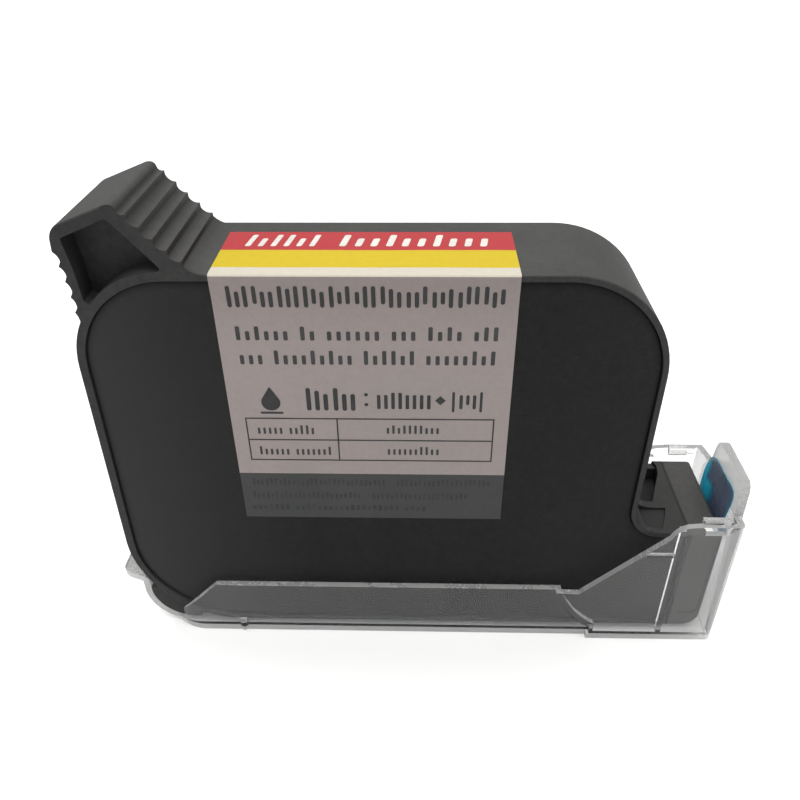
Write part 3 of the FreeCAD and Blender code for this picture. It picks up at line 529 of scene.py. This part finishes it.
# =====================================================================
# mesh helpers
# =====================================================================
def new_object(name, bm, mats, body, sharp_deg=32.0):
    """Turn a bmesh into a piece that rides on a body, smooth except along its own hard edges."""
    bmesh.ops.recalc_face_normals(bm, faces=bm.faces)
    bm.normal_update()
    lim = math.radians(sharp_deg)
    for f in bm.faces:
        f.smooth = True
    for e in bm.edges:
        e.smooth = len(e.link_faces) == 2 and e.calc_face_angle(0.0) < lim
    me = bpy.data.meshes.new(name)
    bm.to_mesh(me)
    bm.free()
    for m in (mats if isinstance(mats, (list, tuple)) else [mats]):
        me.materials.append(m)
    o = bpy.data.objects.new(name, me)
    scene.collection.objects.link(o)
    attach(o, body)
    return o


def paint(node, mat):
    o = NODES[node]
    o.data.materials.clear()
    o.data.materials.append(mat)


def slab(bm, pts, normal, thick):
    """A thin printed patch: pts is a closed loop of corners, raised by thick along normal."""
    n = Vector(normal) * thick
    lo = [bm.verts.new(Vector(p)) for p in pts]
    hi = [bm.verts.new(Vector(p) + n) for p in pts]
    bm.faces.new(hi)
    k = len(pts)
    for i in range(k):
        bm.faces.new((lo[i], lo[(i + 1) % k], hi[(i + 1) % k], hi[i]))


# =====================================================================
# CAD nodes that are shown as they are
# =====================================================================
for n, m in {"case_frame": CASE, "front_cover": COVER, "back_cover": COVER, "inner_liner": LINER,
             "front_ink_film": FILM, "back_ink_film": FILM, "front_edge_guard": GUARD, "back_edge_guard": GUARD,
             "front_pressure_plate": STEEL, "back_pressure_plate": STEEL, "bow_spring": SPRING,
             "filter_carrier": LINER, "front_filter_screen": SCREEN, "back_filter_screen": SCREEN,
             "outlet_seal": RUBBER, "nose_piece": NOSE, "printhead_die": SILICON, "nozzle_plate": NICKEL,
             "encapsulant_beads": EPOXY, "flex_circuit": FLEX, "contact_pads": GOLD, "fill_plug": STEEL,
             "wrap_label": LABEL, "nozzle_tape": TAPE, "clear_tray": CLEAR}.items():
    paint(n, m)


# =====================================================================
# side covers: a domed edge rolling down into the shadow gap
# =====================================================================
X0 = 7.5
TOP, BOTTOM = 70.1, 2.0
R_TR, R_BL, R_NECK = 15.9, 18.2, 4.7
C_TL, C_TR = (-27.7, 55.35), (27.75, 54.2)
C_BL, C_NECK = (-24.8, 20.2), (48.2, 28.8)


def arc_pts(c, r, a0, a1, n):
    return [(c[0] + r * math.cos(math.radians(a0 + (a1 - a0) * i / n)),
             c[1] + r * math.sin(math.radians(a0 + (a1 - a0) * i / n))) for i in range(n + 1)]


def line_pts(a, b, n):
    return [(a[0] + (b[0] - a[0]) * i / n, a[1] + (b[1] - a[1]) * i / n) for i in range(1, n)]


def outline(g, x_end, r_end):
    top = TOP + g
    r_tl = top - C_TL[1]
    rt = C_TR[0] + R_TR + g
    rn = R_NECK - g
    zt, zb = C_NECK[1] - rn, BOTTOM - g
    rb = R_BL + g
    p = arc_pts(C_TR, R_TR + g, 90, 0, 26)
    p += line_pts(p[-1], (C_NECK[0] - rn, C_NECK[1]), 8)
    p += arc_pts(C_NECK, rn, 180, 270, 14)
    p += arc_pts((x_end - r_end, zt - r_end), r_end, 90, 0, 6)
    p += line_pts(p[-1], (x_end, zb + r_end), 6)
    p += arc_pts((x_end - r_end, zb + r_end), r_end, 0, -90, 6)
    p += line_pts(p[-1], (C_BL[0], C_BL[1] - rb), 20)
    p += arc_pts(C_BL, rb, 270, 180, 26)
    p += line_pts(p[-1], (C_TL[0] - r_tl, C_TL[1]), 8)
    p += arc_pts(C_TL, r_tl, 180, 90, 24)
    p += line_pts(p[-1], p[0], 16)
    return [(x - X0, z) for x, z in p]


def cover(name, node, sign):
    """sign is -1 for the labelled side and +1 for the plain side."""
    bm = bmesh.new()
    dark = bm.verts.layers.float.new("edge_nearness")
    # the third value of each step is the nearness to the edge, which the cover material turns into painted shade in the
    # groove
    prof = [(0.0, 9.15, 1.0), (0.0, 9.60, 1.0), (0.05, 9.69, 1.0), (0.15, 9.755, 0.9), (0.32, 9.81, 0.72),
            (0.55, 9.86, 0.5), (0.85, 9.905, 0.28), (1.15, 9.937, 0.1), (1.5, 9.95, 0.0)]
    rings = []
    for d, y, k in prof:
        g = -0.985 - d
        ring = []
        for x, z in outline(g, 52.55 - d, max(1.35 - d, 0.12)):
            v = bm.verts.new(Vector((x, sign * y, z)) * MM)
            v[dark] = k
            ring.append(v)
        rings.append(ring)
    n = len(rings[0])
    for a, b in zip(rings, rings[1:]):
        for i in range(n):
            bm.faces.new((a[i], a[(i + 1) % n], b[(i + 1) % n], b[i]))
    bm.faces.new(rings[-1])
    bm.faces.new(rings[0])
    bmesh.ops.remove_doubles(bm, verts=bm.verts, dist=1e-6)
    o = new_object(name, bm, COVER, "cartridge", 40.0)
    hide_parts(node)
    return o


cover("front_cover_skin", "front_cover", -1.0)
cover("back_cover_skin", "back_cover", 1.0)


# =====================================================================
# wrap label: one thin sheet over the front, the fold and the top
# =====================================================================
LX0, LX1 = -29.0, 13.6
L_BACK = 5.6
L_T = 0.06


def smooth(t):
    t = max(0.0, min(1.0, t))
    return t * t * (3 - 2 * t)


def label_y(z):
    """Outer face of the label on the front: flat on the cover, tented out to the rim near the fold."""
    return -10.05 - 0.235 * smooth((z - 65.6) / 3.6)


def label_sheet():
    path = []
    for i in range(60):
        z = 26.7 + (69.6 - 26.7) * i / 59
        path.append((label_y(z), z))
    rf = 0.46
    cy, cz = -10.285 + rf, 70.185 - rf
    for i in range(1, 9):
        a = math.radians(180 - 90 * i / 8)
        path.append((cy + rf * math.cos(a), cz + rf * math.sin(a)))
    y0 = path[-1][0]
    for i in range(1, 25):
        path.append((y0 + (L_BACK - y0) * i / 24, 70.185))
    nrm = []
    for i in range(len(path)):
        a, b = path[max(i - 1, 0)], path[min(i + 1, len(path) - 1)]
        dy, dz = b[0] - a[0], b[1] - a[1]
        m = math.hypot(dy, dz)
        nrm.append((-dz / m, dy / m))
    bm = bmesh.new()
    nx = 56
    outer, inner = [], []
    for (y, z), (ny, nz) in zip(path, nrm):
        ro, ri = [], []
        for j in range(nx + 1):
            x = LX0 + (LX1 - LX0) * j / nx
            w = 0.012 * math.sin(0.55 * x + 1.3) * math.sin(0.21 * z + 0.8) * (1.0 if z < 64 else 0.3)
            ro.append(bm.verts.new(Vector((x, y + ny * w, z + nz * w)) * MM))
            ri.append(bm.verts.new(Vector((x, y - ny * (L_T - w), z - nz * (L_T - w))) * MM))
        outer.append(ro)
        inner.append(ri)
    for i in range(len(path) - 1):
        for j in range(nx):
            bm.faces.new((outer[i][j], outer[i][j + 1], outer[i + 1][j + 1], outer[i + 1][j]))
            bm.faces.new((inner[i][j], inner[i + 1][j], inner[i + 1][j + 1], inner[i][j + 1]))
        bm.faces.new((outer[i][0], outer[i + 1][0], inner[i + 1][0], inner[i][0]))
        bm.faces.new((outer[i][nx], inner[i][nx], inner[i + 1][nx], outer[i + 1][nx]))
    for j in range(nx):
        bm.faces.new((outer[0][j], inner[0][j], inner[0][j + 1], outer[0][j + 1]))
        bm.faces.new((outer[-1][j], outer[-1][j + 1], inner[-1][j + 1], inner[-1][j]))
    o = new_object("label_sheet", bm, LABEL, "cartridge", 50.0)
    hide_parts("wrap_label")
    return o


label_sheet()

LIFT = 0.020             # printed marks stand this far off the sheet


def front_patch(bm, pts):
    """pts are (x, z) corners in millimetres on the front of the label."""
    q = [Vector((x, label_y(z) - LIFT, z)) * MM for x, z in pts]
    slab(bm, q, (0, -1, 0), 0.008 * MM)


def pill(x0, x1, z0, z1, c=0.28, lean=0.0):
    """A rounded bar as a loop of corners; c is the corner size as a share of the short side."""
    r = c * min(x1 - x0, z1 - z0)
    k = 0.29 * r
    p = [(x0 + r, z0), (x1 - r, z0), (x1 - k, z0 + k), (x1, z0 + r), (x1, z1 - r), (x1 - k, z1 - k),
         (x1 - r, z1), (x0 + r, z1), (x0 + k, z1 - k), (x0, z1 - r), (x0, z0 + r), (x0 + k, z0 + k)]
    return [(x + lean * (z - z0), z) for x, z in p]


def bar_row(bm, x0, x1, z0, z1, words, fill=0.46, low=0.66, put=front_patch, lean=0.0):
    """Rows of plain rounded bars in word-like groups.  words lists the number of bars of each group."""
    total = sum(words) + 0.8 * (len(words) - 1)
    u = (x1 - x0) / total
    h = z1 - z0
    x = x0
    for w in words:
        for i in range(w):
            tall = random.random()
            top = z1 if tall > 0.62 else z0 + h * low
            put(bm, pill(x + u * (1 - fill) / 2, x + u * (1 + fill) / 2, z0, top, 0.3, lean))
            x += u
        x += 0.8 * u


def block_row(bm, x0, x1, z0, z1, count, gaps=(), weight=0.17):
    """Wide groups of three plain upright bars, one group where a wide character would stand."""
    u = (x1 - x0) / (count + sum(g for _, g in gaps))
    h = z1 - z0
    x = x0
    extra = dict(gaps)
    for i in range(count):
        a = x + 0.10 * u
        for k in range(3):
            lo = z0 + h * random.choice((0.0, 0.0, 0.16))
            hi = z1 - h * random.choice((0.0, 0.12, 0.26))
            c = a + u * (0.80 - weight) * k / 2
            front_patch(bm, pill(c, c + weight * u, lo, hi, 0.42))
        x += u * (1.0 + extra.get(i, 0.0))


def finish_print(name, bm, mat):
    return new_object(name, bm, mat, "cartridge", 30.0)


bm = bmesh.new()
block_row(bm, -27.2, 12.0, 65.25, 68.55, 11)
finish_print("print_heading", bm, INK_DARK)

bm = bmesh.new()
bar_row(bm, -26.7, 11.4, 60.1, 62.3, (6, 2, 6, 3, 4, 3))
bar_row(bm, -26.6, 11.2, 56.15, 58.45, (3, 9, 6, 8))
finish_print("print_lines", bm, INK_SOFT)

# plain drop sign
bm = bmesh.new()
cx, cz, rr = -22.5, 49.55, 1.45
drop = [(cx + rr * math.cos(math.radians(a)), cz + rr * math.sin(math.radians(a))) for a in range(-205, 26, 11)]
drop += [(cx + 0.62, cz + 1.75), (cx + 0.10, cz + 2.62), (cx - 0.10, cz + 2.62), (cx - 0.62, cz + 1.75)]
front_patch(bm, drop)
for k, (hw, dz) in enumerate(((1.75, -2.05),)):
    front_patch(bm, pill(cx - hw, cx + hw, cz + dz, cz + dz + 0.36, 0.45))
finish_print("print_drop_sign", bm, INK_DARK)

bm = bmesh.new()
block_row(bm, -17.5, -9.3, 48.15, 52.15, 2)
front_patch(bm, pill(-8.35, -7.75, 49.0, 49.55, 0.45))
front_patch(bm, pill(-8.35, -7.75, 50.75, 51.3, 0.45))
bar_row(bm, -6.7, 1.9, 48.5, 51.4, (8,), 0.50, 0.86)
front_patch(bm, [(2.3, 50.05), (3.1, 49.25), (3.9, 50.05), (3.1, 50.85)])
front_patch(bm, pill(4.85, 5.25, 48.0, 51.6, 0.45))
front_patch(bm, pill(5.95, 6.45, 48.55, 51.05, 0.45))
front_patch(bm, pill(6.95, 7.45, 49.3, 51.05, 0.45))
front_patch(bm, pill(7.95, 8.45, 48.55, 51.05, 0.45))
front_patch(bm, pill(9.0, 9.4, 48.0, 51.6, 0.45))
finish_print("print_model_row", bm, INK_DARK)

# ruled two by two table
bm = bmesh.new()
TX0, TX1, TZ0, TZ1, TD = -26.7, 11.3, 38.75, 46.65, -12.65
lw = 0.11
for z in (TZ0, (TZ0 + TZ1) / 2 - 0.05, TZ1):
    front_patch(bm, [(TX0 - lw, z - lw), (TX1 + lw, z - lw), (TX1 + lw, z + lw), (TX0 - lw, z + lw)])
for x in (TX0, TD, TX1):
    for za, zb in ((TZ0 + lw, (TZ0 + TZ1) / 2 - 0.05 - lw), ((TZ0 + TZ1) / 2 - 0.05 + lw, TZ1 - lw)):
        front_patch(bm, [(x - lw, za), (x + lw, za), (x + lw, zb), (x - lw, zb)])
finish_print("print_table_rules", bm, INK_DARK)

bm = bmesh.new()
bar_row(bm, -25.3, -16.1, 43.75, 45.4, (5, 5), 0.44, 0.70)
bar_row(bm, -5.3, 3.2, 43.95, 45.5, (10,), 0.44, 0.70)
bar_row(bm, -25.4, -13.7, 39.75, 41.35, (6, 7), 0.44, 0.70)
bar_row(bm, -5.2, 3.25, 39.9, 41.45, (10,), 0.44, 0.70)
finish_print("print_cell_marks", bm, INK_SOFT)

bm = bmesh.new()
block_row(bm, -27.3, 11.5, 33.55, 34.95, 17, ((9, 0.7),))
block_row(bm, -27.5, 8.0, 30.75, 32.15, 15, ((7, 0.7),))
bar_row(bm, -27.8, 1.2, 28.35, 29.45, (7, 19, 4), 0.62, 0.72)
finish_print("print_foot_marks", bm, INK_BAND)


def top_patch(bm, pts):
    """pts are (x, y) corners on the top face of the label."""
    q = [Vector((x, y, 70.185 + LIFT)) * MM for x, y in pts]
    slab(bm, q, (0, 0, 1), 0.008 * MM)


def top_row(bm, x0, x1, y0, y1, tall):
    u = (x1 - x0) / len(tall)
    h = y1 - y0
    x = x0
    for t in tall:
        top = y1 if t else y0 + 0.68 * h
        top_patch(bm, pill(x + 0.27 * u, x + 0.71 * u, y0, top, 0.35, 0.14))
        x += u


bm = bmesh.new()
top_row(bm, -26.3, -15.0, -0.15, 4.35, (1, 0, 1, 1, 0, 1))
top_row(bm, -12.6, 10.2, -0.15, 4.35, (1, 0, 0, 1, 0, 0, 1, 0, 0, 0))
finish_print("print_top_marks", bm, INK_WHITE)


# =====================================================================
# pull tape: a limp curved tab with painted bright edges
# =====================================================================
def tape_strip():
    near_tab = [(6.0, -7.6), (24.0, -7.6), (26.0, -7.85), (28.0, -8.0), (29.8, -8.0), (31.6, -7.6)]
    far_tab = [(6.0, 4.7), (24.0, 4.7), (26.6, 4.6), (28.0, 4.35), (29.2, 4.0), (31.6, 3.6)]
    top_tab = [(-8.1, 30.6), (-7.6, 31.15), (-6.2, 31.52), (-3.3, 31.45), (-0.4, 31.2), (1.6, 30.95), (2.8, 30.5), (4.8, 29.0)]

    def look(tab, t):
        for (a0, b0), (a1, b1) in zip(tab, tab[1:]):
            if t <= a1:
                return b0 + (b1 - b0) * (t - a0) / (a1 - a0)
        return tab[-1][1]

    bm = bmesh.new()
    lay = bm.verts.layers.float.new("edge_nearness")
    nz, ny = 64, 44
    outer, inner = [], []
    for i in range(nz + 1):
        v = 1 - (1 - i / nz) ** 1.6
        ro, ri = [], []
        for j in range(ny + 1):
            t = j / ny
            z = 6.0 + 25.5 * v
            for _ in range(3):
                a, b = look(near_tab, z), look(far_tab, z)
                y = a + (b - a) * t
                z = 6.0 + (look(top_tab, y) - 6.0) * v
            up = smooth((z - 22.0) / 7.0)
            dx = 0.20 * up + 0.12 * up * math.sin(0.62 * y + 0.9) + 0.05 * up * math.sin(0.9 * z)
            x = 51.55 + max(0.0, min(0.375, dx))
            k = min(y - a, b - y, (look(top_tab, y) - z) * 1.1)
            vo = bm.verts.new(Vector((x + 0.075, y, z)) * MM)
            vi = bm.verts.new(Vector((x, y, z)) * MM)
            # nearness to the edge, which the tape material turns into painted teal highlights
            vo[lay] = vi[lay] = 1.0 - smooth(k / 1.1)
            ro.append(vo)
            ri.append(vi)
        outer.append(ro)
        inner.append(ri)
    for i in range(nz):
        for j in range(ny):
            bm.faces.new((outer[i][j], outer[i][j + 1], outer[i + 1][j + 1], outer[i + 1][j]))
            bm.faces.new((inner[i][j], inner[i + 1][j], inner[i + 1][j + 1], inner[i][j + 1]))
        bm.faces.new((outer[i][0], outer[i + 1][0], inner[i + 1][0], inner[i][0]))
        bm.faces.new((outer[i][ny], inner[i][ny], inner[i + 1][ny], outer[i + 1][ny]))
    for j in range(ny):
        bm.faces.new((outer[0][j], inner[0][j], inner[0][j + 1], outer[0][j + 1]))
        bm.faces.new((outer[-1][j], outer[-1][j + 1], inner[-1][j + 1], inner[-1][j]))
    o = new_object("tape_tab", bm, TAPE, "tape", 40.0)
    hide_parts("nozzle_tape")


tape_strip()


# =====================================================================
# clear tray: the moulded node, split so that its rims and foot edges can be hazy; the grey tint there is partly haze,
# partly painted light for the bright edge reflections
# =====================================================================
def tray_shell():
    bm = bmesh.new()
    bm.from_mesh(NODES["clear_tray"].data)
    bmesh.ops.remove_doubles(bm, verts=bm.verts, dist=1.5e-6)
    geom = bm.verts[:] + bm.edges[:] + bm.faces[:]
    bmesh.ops.bisect_plane(bm, geom=geom, plane_co=Vector((0, 0, 1.45 * MM)), plane_no=Vector((0, 0, 1)), dist=1e-7)
    bm.normal_update()
    for f in bm.faces:
        c = f.calc_center_median() / MM
        n = f.normal
        if n.z > 0.35 and c.z > 2.2:
            f.material_index = 2
        elif c.z < 1.45 and (abs(n.z) < 0.8 and (abs(c.y) > 9.0 or c.x < -40.0) or c.x > 45.2):
            f.material_index = 1
        elif abs(n.y) > 0.6 and c.z > 27.6:
            f.material_index = 2
        elif c.x < -49.8 or (c.x < -43.0 and abs(c.y) < 9.4):
            f.material_index = 1
        elif c.x > 51.0 and abs(n.x) > 0.7 and c.z > 27.5:
            f.material_index = 1
        elif c.x > 51.8 and c.y < -9.6 and c.z > 1.4:
            f.material_index = 4
        elif c.x > 51.8 and abs(n.x) > 0.7 and c.z > 1.4:
            f.material_index = 3
    o = new_object("tray_shell", bm, [CLEAR, HAZE_AND_EDGE_LIGHT, FROST_AND_RIM_LIGHT, PANEL, CORNER], "tray", 24.0)
    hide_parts("clear_tray")
    return o


tray_shell()

# =====================================================================
# floor
# =====================================================================
bm = bmesh.new()
bmesh.ops.create_grid(bm, x_segments=24, y_segments=24, size=1.6)
me = bpy.data.meshes.new("floor")
bm.to_mesh(me)
bm.free()
me.materials.append(FLOOR)
floor = bpy.data.objects.new("floor", me)
scene.collection.objects.link(floor)
floor.location = (0, 0, -0.00002)
